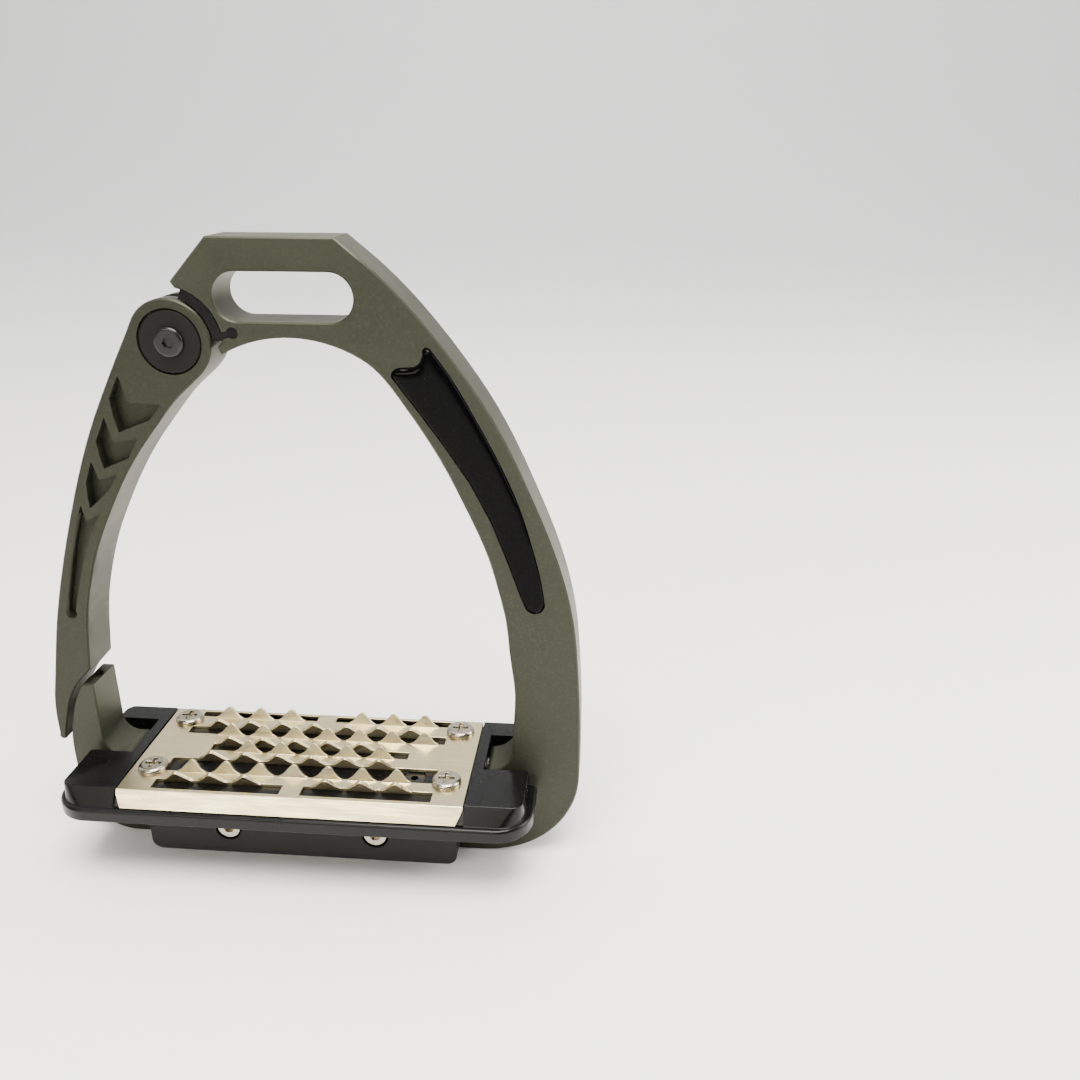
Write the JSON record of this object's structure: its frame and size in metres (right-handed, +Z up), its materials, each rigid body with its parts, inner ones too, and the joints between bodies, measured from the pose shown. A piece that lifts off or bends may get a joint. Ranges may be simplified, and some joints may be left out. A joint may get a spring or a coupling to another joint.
{
  "type": "stirrup iron",
  "caption": "Safety stirrup iron with a swing-out release arm, leather slot, toothed steel tread plate and black clamped tread base",
  "frame": {"origin": "Underside of the bar, in the middle of the inside width and of the frame's thickness", "axes": "X along the tread from the release arm to the fixed leg, Y from the front face to the rear, Z up"},
  "size_m": [0.1513, 0.049, 0.172],
  "materials": {
    "frame_paint": "matte",
    "arm_paint": "matte",
    "black_disc": "satin",
    "black_screw": "satin",
    "black_rubber": "satin",
    "inlay_gloss": "glossy",
    "base_black": "satin",
    "block_black": "satin",
    "plate_steel": "satin",
    "steel": "satin",
    "brass_insert": "satin",
    "magnet_nickel": "glossy"
  },
  "bodies": {
    "root": {"frame": "frame_paint", "pivot_pin": "steel", "pivot_disc_front": "black_disc", "pivot_disc_rear": "black_disc", "pivot_screw_front": "black_screw", "pivot_screw_rear": "black_screw", "buffer_front": "black_rubber", "buffer_rear": "black_rubber", "leg_inlay_front": "inlay_gloss", "leg_inlay_rear": "inlay_gloss", "tread_base": "base_black", "tread_plate": "plate_steel", "plate_screws": "steel", "plate_inserts": "brass_insert", "lower_block_front": "block_black", "lower_block_rear": "block_black", "clamp_screws": "steel", "clamp_nuts": "steel", "damper_bushes": "black_rubber", "damper_sleeves": "steel", "base_screws": "black_screw", "stub_magnet": "magnet_nickel"},
    "arm": {"safety_arm": "arm_paint", "pivot_bush_front": "brass_insert", "pivot_bush_rear": "brass_insert", "arm_magnet": "magnet_nickel"}
  },
  "joints": [
    {"name": "arm_swing", "type": "hinge", "parent": "root", "child": "arm", "pos_m": [-0.0239, 0, 0.1473], "axis": [0, 1, 0], "range_deg": [0, 78]}
  ]
}
